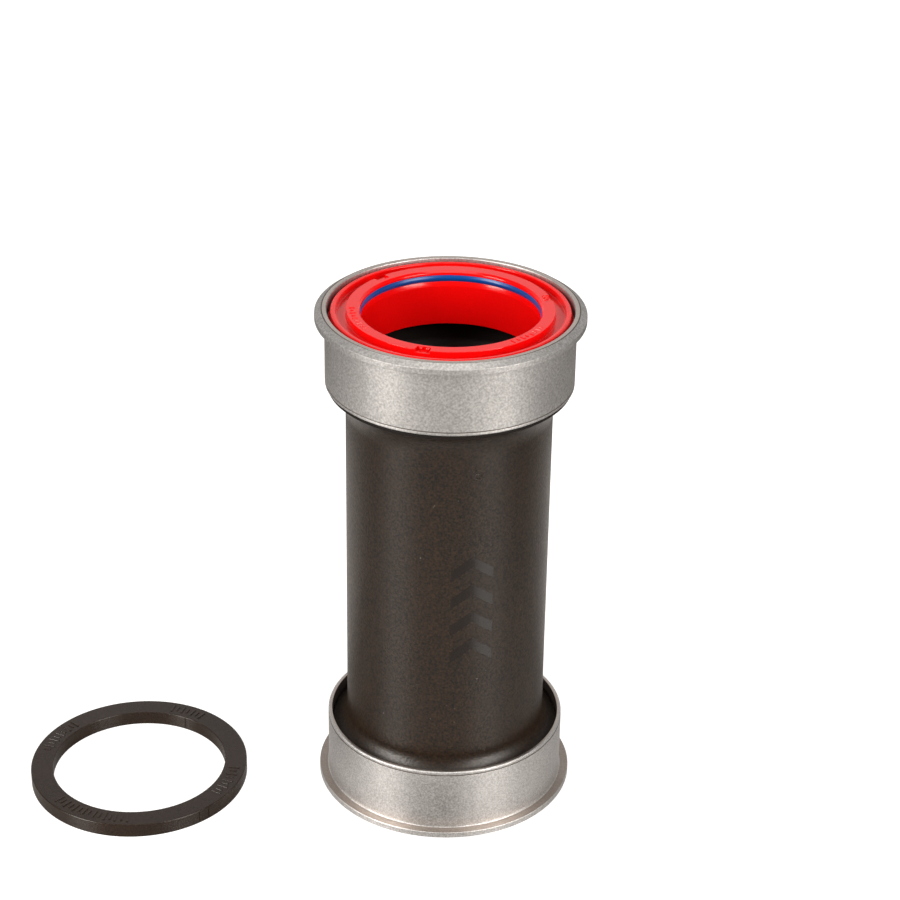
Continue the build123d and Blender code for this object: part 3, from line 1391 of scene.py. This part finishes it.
    def nubs(self) -> None:
        """Set two small round nubs at the back of each notch."""
        length, width, _ = self.notch_size
        circle = self.collar[1] - length + self.nub_inset
        spread = width * self.nub_spread / circle
        for label, side in (("left", -1), ("right", 1)):
            piece = self.patterns.balls.make(
                f"notch_nubs_{label}_{self.end.value}", Count=self.notch_count,
                First_Angle=math.radians(self.notch_angle) + side * spread, Circle_Radius=circle * MM,
                Height=(self.face - self.nub_radius + self.nub_rise) * MM,
                Ball_Radius=self.nub_radius * MM, Fineness=self.nub_fineness,
                Finish=self.finishes.red_plastic,
            )
            self.hand_over(piece, "rotating_shield", "shield_plastic")

    def marks(self) -> None:
        """Set two runs of plain raised ticks on the collar's face."""
        for number, (angle, count) in enumerate(self.mark_runs, 1):
            piece = self.patterns.marks.make(
                f"collar_marks_{number}_{self.end.value}", Count=count,
                First_Angle=math.radians(angle),
                Circle_Radius=(sum(self.collar) / 2 + self.mark_shift) * MM,
                Centre=(0.0, 0.0, self.face * MM), Seed=number, Finish=self.finishes.red_plastic,
                **self.ticks.inputs(),
            )
            self.hand_over(piece, "rotating_shield", "shield_plastic")

    def spindle_seal(self) -> None:
        """Turn the blue seal, with a crowned face towards the spindle."""
        low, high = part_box("upper_spindle_seal")
        bottom, top = low.z / MM - self.seal_drop, high.z / MM - self.seal_drop
        outside, bore = high.x / MM, self.seal_bore
        third = (top - bottom) / 3
        corners = [
            Corner(outside, bottom, FINE),
            Corner(outside, top, FINE),
            Corner(bore + self.seal_shoulders[1], top, SOFT),
            Corner(bore, top - third, self.seal_crown),
            Corner(bore, bottom + third, self.seal_crown),
            Corner(bore + self.seal_shoulders[0], bottom, SOFT),
        ]
        name = f"spindle_seal_{self.end.value}"
        piece = turned_piece(name, corners, self.finishes.blue_rubber)
        self.hand_over(piece, "rotating_shield", "seal_rubber", "spindle_seal")

    def build(self) -> None:
        """Build the shield, its nubs and marks, and its seal."""
        self.shell()
        self.nubs()
        self.marks()
        self.spindle_seal()


# ------------------------------------------------------------------ the centre tube
@dataclass(frozen=True)
class Chevrons:
    """A column of plain printed chevrons, in millimetres."""

    count: int = 4
    spacing: float = 5.2
    width: float = 7.2
    stroke: float = 2.0
    rise: float = 2.6
    thickness: float = 0.02
    azimuth: float = -75.6
    middle: float = -0.7


@dataclass(frozen=True)
class Gate:
    """The small ring and centre dot that a moulding gate leaves, in millimetres."""

    inside: float = 0.68
    outside: float = 0.98
    rise: float = 0.10
    root: float = -0.2
    arc_steps: int = 3
    dot_radius: float = 0.34
    dot_flatness: float = 0.4
    dot_columns: int = 20
    dot_rows: int = 10
    height: float = 23.0
    azimuth: float = -74.0


@dataclass
class CentreTube:
    """The moulded tube between the cups, with its O-rings and surface marks."""

    finishes: Finishes
    patterns: Patterns
    radius: float = 17.13
    wall: float = 0.93
    end_radius: float = 19.7
    end_bore: float = 18.1
    shoulder_radius: float = 20.1
    shoulder_thickness: float = 1.04
    shoulder_lip: float = 0.65
    spigot: float = 3.7
    lip: float = 2.0
    flare_top: float = 19.65
    flares: tuple[float, float] = (4.85, 4.0)
    lower_flare_shape: tuple[float, float] = (0.42, 1.05)
    upper_flare_shape: tuple[float, float] = (0.5, 1.25)
    bore_flare_shape: tuple[float, float] = (0.5, 4.0)
    bore_edge: float = 1.5
    groove: tuple[float, float] = (1.1, 0.95)
    o_ring_section: float = 0.5
    o_ring_sides: int = 24
    bore_margin: float = 0.1
    margin: float = 0.01
    chevrons: Chevrons = Chevrons()
    gate: Gate = Gate()
    low: float = field(init=False)
    high: float = field(init=False)

    def __post_init__(self) -> None:
        """Read the tube's ends from the frame."""
        low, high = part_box("centre_tube")
        self.low, self.high = low.z / MM, high.z / MM

    def groove_corners(self, middle: float) -> list[Corner]:
        """The section of the O-ring groove at a height, as corners from low to high.

        Args:
            middle: the height of the groove's middle.

        Returns:
            Its corners.
        """
        width, depth = self.groove
        floor = self.end_radius - depth
        foot, head = middle - width / 2, middle + width / 2
        return [
            Corner(self.end_radius, foot, NEAT),
            Corner(floor, foot, SOFT),
            Corner(floor, head, SOFT),
            Corner(self.end_radius, head, NEAT),
        ]

    def outline(self) -> list[Corner]:
        """The tube's section, up the outside and down the bore.

        Returns:
            Its corners.
        """
        shoulder_top = self.high - self.spigot
        shoulder_low = shoulder_top - self.shoulder_thickness
        lip_low = shoulder_top - self.shoulder_lip
        lip_top = self.low + self.lip
        bore = self.radius - self.wall
        upper, lower = self.flares
        lower_turn, lower_round = self.lower_flare_shape
        upper_turn, upper_round = self.upper_flare_shape
        bore_turn, bore_round = self.bore_flare_shape
        return [
            Corner(self.end_bore, self.low, WIDE),
            Corner(self.end_radius, self.low, ROUNDED),
            *self.groove_corners(self.low + self.lip / 2),
            Corner(self.end_radius, lip_top, SOFT),
            Corner(self.radius, lip_top + lower * lower_turn, lower * lower_round),
            Corner(self.radius, lip_low - upper * upper_turn, upper * upper_round),
            Corner(self.flare_top, lip_low, FINE),
            Corner(self.shoulder_radius, lip_low, SOFT),
            Corner(self.shoulder_radius, shoulder_top, ROUNDED),
            Corner(self.end_radius, shoulder_top, EASED),
            *self.groove_corners(shoulder_top + self.spigot / 2),
            Corner(self.end_radius, self.high, FULL),
            Corner(self.end_bore, self.high, WIDE),
            Corner(self.end_bore, shoulder_low, self.bore_edge),
            Corner(bore, shoulder_low - upper * bore_turn, bore_round),
            Corner(bore, lip_top + lower * bore_turn, bore_round),
            Corner(self.end_bore, lip_top, self.bore_edge),
        ]

    def surface(self, face: bpy.types.MeshPolygon) -> TubeSurface:
        """Tell a face of the outer wall from one of the bore or of the shoulder's lip.

        Args:
            face: a face of the tube.

        Returns:
            Its surface.
        """
        across = math.hypot(face.center.x, face.center.y) / MM
        inwards = face.normal.x * face.center.x + face.normal.y * face.center.y < 0
        bored = inwards and across < self.end_bore + self.bore_margin
        on_lip = across > self.end_radius + self.margin
        # faces of the bore and of the shoulder's lip get painted shade
        return TubeSurface.BORE if bored or on_lip else TubeSurface.WALL

    def sleeve(self) -> None:
        """Turn the tube itself."""
        finishes = (self.finishes.tube_nylon, self.finishes.bore_and_lip_painted_shade)
        piece = turned_piece("tube_sleeve", self.outline(), *finishes)
        for face in piece.data.polygons:
            face.material_index = self.surface(face)
        seat(piece, "tube_assembly", "tube_nylon", "centre_tube")

    def o_rings(self) -> None:
        """Turn the two O-rings that sit in the end grooves."""
        radius = self.o_ring_section * MM
        for end in End:
            low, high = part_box(f"{end.value}_tube_o_ring")
            middle, centre = (low.z + high.z) / 2, high.x - radius
            outline = []
            for step in range(self.o_ring_sides):
                angle = TURN * step / self.o_ring_sides
                outline.append((centre + radius * math.cos(angle), middle + radius * math.sin(angle)))
            piece = lathe(f"o_ring_{end.value}", outline)
            smooth(piece)
            dress(piece, self.finishes.black_rubber)
            seat(piece, "tube_assembly", "o_ring_rubber", f"{end.value}_tube_o_ring")

    def printed_mark(self) -> None:
        """Print the column of plain chevrons, in gloss, on the tube's wall."""
        mark = self.chevrons
        piece = self.patterns.chevrons.make(
            "printed_chevrons", Count=mark.count, Spacing=mark.spacing * MM, Width=mark.width * MM,
            Stroke=mark.stroke * MM, Rise=mark.rise * MM, Tube_Radius=self.radius * MM,
            Print_Height=mark.thickness * MM, Azimuth=math.radians(mark.azimuth),
            Middle=mark.middle * MM, Finish=self.finishes.gloss_print,
        )
        smooth(piece)
        seat(piece, "tube_assembly", "tube_nylon")

    def gate_mark(self) -> None:
        """Raise the small moulded ring and its centre dot on the tube's wall."""
        gate = self.gate
        outline = [
            Corner(gate.inside, gate.root, SHARP),
            Corner(gate.inside, gate.rise, NEAT),
            Corner(gate.outside, gate.rise, NEAT),
            Corner(gate.outside, gate.root, SHARP),
        ]
        piece = lathe("gate_ring", rounded_outline(outline, gate.arc_steps))
        shape = bmesh.new()
        shape.from_mesh(piece.data)
        bmesh.ops.create_uvsphere(
            shape, u_segments=gate.dot_columns, v_segments=gate.dot_rows, radius=gate.dot_radius * MM,
            matrix=Matrix.Diagonal((1, 1, gate.dot_flatness, 1)),
        )
        around = Matrix.Rotation(math.radians(gate.azimuth), 4, "Z")
        out = Matrix.Translation((self.radius * MM, 0, gate.height * MM))
        shape.transform(around @ out @ Matrix.Rotation(math.pi / 2, 4, "Y"))
        shape.to_mesh(piece.data)
        shape.free()
        smooth(piece)
        dress(piece, self.finishes.tube_nylon)
        seat(piece, "tube_assembly", "tube_nylon")

    def build(self) -> None:
        """Build the tube, its O-rings and its marks."""
        self.sleeve()
        self.o_rings()
        self.printed_mark()
        self.gate_mark()


# ------------------------------------------------------------------ the loose spacer
@dataclass
class SpacerRing:
    """The loose spindle spacer, with four runs of plain raised ticks and its mould lines."""

    finishes: Finishes
    patterns: Patterns
    bore: float = 15.16
    top_edge: float = 0.18
    mark_runs: tuple = ((224.0, 15), (-32.0, 9), (140.0, 10), (56.0, 7))
    first_seed: int = 10
    ticks: Ticks = Ticks(step=3.3, long_bar=1.9, short_bar=1.2, width=0.42, height=0.28)
    line_angles: tuple = ((64.0, RingWall.BORE), (-50.0, RingWall.OUTSIDE), (-44.0, RingWall.OUTSIDE))
    line_size: tuple[float, float] = (0.24, 0.26)
    line_height_share: float = 0.84
    line_rounding: float = 0.08
    low: Vector = field(init=False)
    high: Vector = field(init=False)

    def __post_init__(self) -> None:
        """Read the ring's place from the frame."""
        self.low, self.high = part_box("spacer_ring")

    @property
    def outside(self) -> float:
        """The ring's outer radius, in millimetres."""
        return (self.high.x - self.low.x) / 2 / MM

    @property
    def middle(self) -> Vector:
        """The middle of the ring, in metres."""
        return (self.low + self.high) / 2

    def ring(self) -> None:
        """Turn the ring."""
        bottom, top = self.low.z / MM, self.high.z / MM
        corners = [
            Corner(self.bore, bottom, ROUNDED),
            Corner(self.outside, bottom, ROUNDED),
            Corner(self.outside, top, self.top_edge),
            Corner(self.bore, top, ROUNDED),
        ]
        finish = self.finishes.spacer_plastic
        piece = turned_piece("spacer", corners, finish, centre=self.middle)
        seat(piece, "loose_spacer", "spacer_plastic", "spacer_ring")

    def marks(self) -> None:
        """Set the runs of ticks on the ring's upper face."""
        for number, (angle, count) in enumerate(self.mark_runs, 1):
            piece = self.patterns.marks.make(
                f"spacer_marks_{number}", Count=count, First_Angle=math.radians(angle),
                Circle_Radius=(self.bore + self.outside) / 2 * MM,
                Centre=(self.middle.x, self.middle.y, self.high.z), Seed=self.first_seed + number,
                Finish=self.finishes.spacer_plastic, **self.ticks.inputs(),
            )
            seat(piece, "loose_spacer", "spacer_plastic")

    def mould_lines(self) -> None:
        """Raise the mould's thin upright lines on the bore and on the outer wall."""
        thickness = (self.high.z - self.low.z) / MM
        size = Vector((*self.line_size, thickness * self.line_height_share)) * MM
        places = []
        for angle, wall in self.line_angles:
            across = self.bore if wall is RingWall.BORE else self.outside
            turn = Matrix.Rotation(math.radians(angle), 4, "Z")
            out = Matrix.Translation((across * MM, 0, 0))
            places.append(Matrix.Translation(self.middle) @ turn @ out)
        piece = blocks("spacer_witness_lines", size, self.line_rounding * MM, places)
        smooth(piece)
        dress(piece, self.finishes.spacer_plastic)
        seat(piece, "loose_spacer", "spacer_plastic")

    def build(self) -> None:
        """Build the ring and its marks."""
        self.ring()
        self.marks()
        self.mould_lines()


# ------------------------------------------------------------------ the studio
@dataclass(frozen=True)
class FloorPaper:
    """Pale paper: even and glowing where it is looked at, with painted light and shade where the part
    reflects it.

    The painted tones run from front to back over the reach, a painted lit band behind the part and
    painted shade beyond it, and painted shade deepens towards the sides.
    """

    name: str = "pale_floor"
    colour: tuple = (0.38, 0.37, 0.36, 1)
    glow: float = 0.88
    sheen: float = 0.13
    sheen_roughness: float = 0.3
    reach: float = 0.20
    tones: tuple = ((0.0, 0.38), (0.1, 0.38), (0.2, 0.9), (0.52, 0.9), (0.72, 0.12))
    warmth: tuple = (1.0, 0.975, 0.95)
    sides: tuple = (0.09, 0.15)
    side_tones: tuple = (1.0, 0.25)

    def tone_by_place(self, tree: NodeTree) -> Socket:
        """The paper's painted light and shade in reflections, by its place on the floor.

        Args:
            tree: the material's tree.

        Returns:
            The colour.
        """
        place = tree.node("ShaderNodeTexCoord").outputs["Object"]
        parts = tree.node("ShaderNodeSeparateXYZ", Vector=place).outputs
        shades = tree.node(
            "ShaderNodeValToRGB", Fac=tree.calculate("MULTIPLY", parts["Y"], 1 / self.reach)
        )
        stops = shades.color_ramp.elements
        for step, tone in self.tones:
            stop = stops.new(step) if step else stops[0]
            stop.color = (*(tone * share for share in self.warmth), 1)
        stops.remove(stops[-1])
        # painted shade towards the sides of the floor
        aside = tree.calculate("ABSOLUTE", parts["X"])
        dimmed = tree.node(
            "ShaderNodeVectorMath", {"operation": "SCALE"}, i0=shades.outputs["Color"],
            Scale=tree.between(aside, self.sides, self.side_tones),
        )
        return dimmed.outputs["Vector"]

    def build(self) -> bpy.types.Material:
        """Make the material.

        Returns:
            The material.
        """
        material = bpy.data.materials.new(self.name)
        material.use_nodes = True
        tree = NodeTree(material.node_tree)
        paper = tree.node("ShaderNodeBsdfDiffuse", Color=self.tone_by_place(tree))
        sheen = tree.node("ShaderNodeBsdfGlossy", Roughness=self.sheen_roughness)
        reflected = tree.node(
            "ShaderNodeMixShader", Fac=self.sheen, i1=paper.outputs[0], i2=sheen.outputs[0]
        )
        even = tree.node("ShaderNodeBsdfDiffuse", Color=self.colour)
        glow = tree.node("ShaderNodeEmission", Strength=self.glow)
        lit = tree.node("ShaderNodeAddShader", i0=glow.outputs[0], i1=even.outputs[0])
        seen = tree.node(
            "ShaderNodeMixShader", Fac=tree.node("ShaderNodeLightPath").outputs["Is Camera Ray"],
            i1=reflected.outputs[0], i2=lit.outputs[0],
        )
        tree.node("ShaderNodeOutputMaterial", Surface=seen.outputs[0])
        return material


@dataclass(frozen=True)
class Softbox:
    """A soft light that faces the part, placed by compass angle, height angle and distance."""

    name: str
    azimuth: float
    elevation: float
    size: tuple[float, float]
    power: float
    distance: float = 1.0
    tint: tuple = (1.0, 0.96, 0.91)

    def build(self) -> None:
        """Hang the light."""
        lamp = bpy.data.lights.new(self.name, "AREA")
        lamp.shape = "RECTANGLE"
        lamp.size, lamp.size_y = self.size
        lamp.energy = self.power
        lamp.color = self.tint
        around, above = math.radians(self.azimuth), math.radians(self.elevation)
        level = math.cos(above)
        away = Vector((math.sin(around) * level, -math.cos(around) * level, math.sin(above)))
        light = bpy.data.objects.new(self.name, lamp)
        light.location = away * self.distance
        light.rotation_euler = (-away).to_track_quat("-Z", "Y").to_euler()
        bpy.context.scene.collection.objects.link(light)


@dataclass
class Studio:
    """A plain pale floor, soft lights and the camera."""

    floor_half: float = 4.0
    paper: FloorPaper = FloorPaper()
    room_colour: tuple = (1, 0.985, 0.97, 1)
    room_glow: tuple = (0.07, 0.78)
    glow_span: tuple = (0.30, 0.92)
    softboxes: tuple = (
        Softbox("left_softbox", azimuth=-57, elevation=24, size=(0.38, 0.80), power=13.8),
        Softbox("right_softbox", azimuth=48, elevation=24, size=(0.48, 0.80), power=12.0),
        Softbox("top_softbox", azimuth=0, elevation=78, size=(0.7, 0.45), power=2.1),
    )
    camera_place: tuple = (0.000218, -0.34846, 0.20169)
    pitch: float = 27.681
    roll: float = 0.92
    lens: float = 94.47
    sensor: float = 36.0

    def floor(self) -> None:
        """Lay a wide pale floor under the part."""
        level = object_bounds()[0][2]
        mesh = bpy.data.meshes.new("floor")
        half = self.floor_half
        sides = ((-half, -half), (half, -half), (half, half), (-half, half))
        mesh.from_pydata([(x, y, level) for x, y in sides], [], [(0, 1, 2, 3)])
        mesh.materials.append(self.paper.build())
        link("floor", mesh)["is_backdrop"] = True

    def world(self) -> None:
        """Surround the part with soft light, brighter behind it, and white for the camera."""
        world = bpy.data.worlds.new("studio")
        bpy.context.scene.world = world
        world.use_nodes = True
        tree = NodeTree(world.node_tree)
        direction = tree.node("ShaderNodeTexCoord").outputs["Generated"]
        parts = tree.node("ShaderNodeSeparateXYZ", Vector=direction).outputs
        glow = tree.between(parts["Y"], self.glow_span, self.room_glow)
        looked_at = tree.node("ShaderNodeLightPath").outputs["Is Camera Ray"]
        background = tree.node(
            "ShaderNodeBackground", Color=self.room_colour,
            Strength=tree.calculate("MAXIMUM", glow, looked_at),
        )
        tree.node("ShaderNodeOutputWorld", Surface=background.outputs["Background"])

    def camera(self) -> None:
        """Set the camera at its place, with its pitch and roll."""
        data = bpy.data.cameras.new("camera")
        data.sensor_width = self.sensor
        data.lens = self.lens
        camera = bpy.data.objects.new("camera", data)
        bpy.context.scene.collection.objects.link(camera)
        pitch, roll = math.radians(self.pitch), math.radians(self.roll)
        forward = Vector((0, math.cos(pitch), -math.sin(pitch)))
        upright = Vector((0, math.sin(pitch), math.cos(pitch)))
        side = Vector((1, 0, 0))
        right = math.cos(roll) * side + math.sin(roll) * upright
        up = -math.sin(roll) * side + math.cos(roll) * upright
        turn = Matrix((right, up, -forward)).transposed().to_4x4()
        camera.matrix_world = Matrix.Translation(self.camera_place) @ turn
        bpy.context.scene.camera = camera

    def build(self) -> None:
        """Set up the whole studio."""
        self.floor()
        self.world()
        for softbox in self.softboxes:
            softbox.build()
        self.camera()
        view = bpy.context.scene.view_settings
        view.view_transform = "Standard"
        view.look = "None"


def main() -> None:
    """Load the frame and build every piece around it."""
    logging.basicConfig(level=logging.INFO, format="%(name)s: %(message)s")
    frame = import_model()
    finishes, patterns = Finishes(), Patterns()
    for end in End:
        for assembly in (Cup, Bearing, Shield):
            assembly(end, finishes, patterns).build()
        dress(frame["nodes"][f"{end.value}_ball_cage"], finishes.cage)
    CentreTube(finishes, patterns).build()
    SpacerRing(finishes, patterns).build()
    Studio().build()


if __name__ == "__main__":
    main()
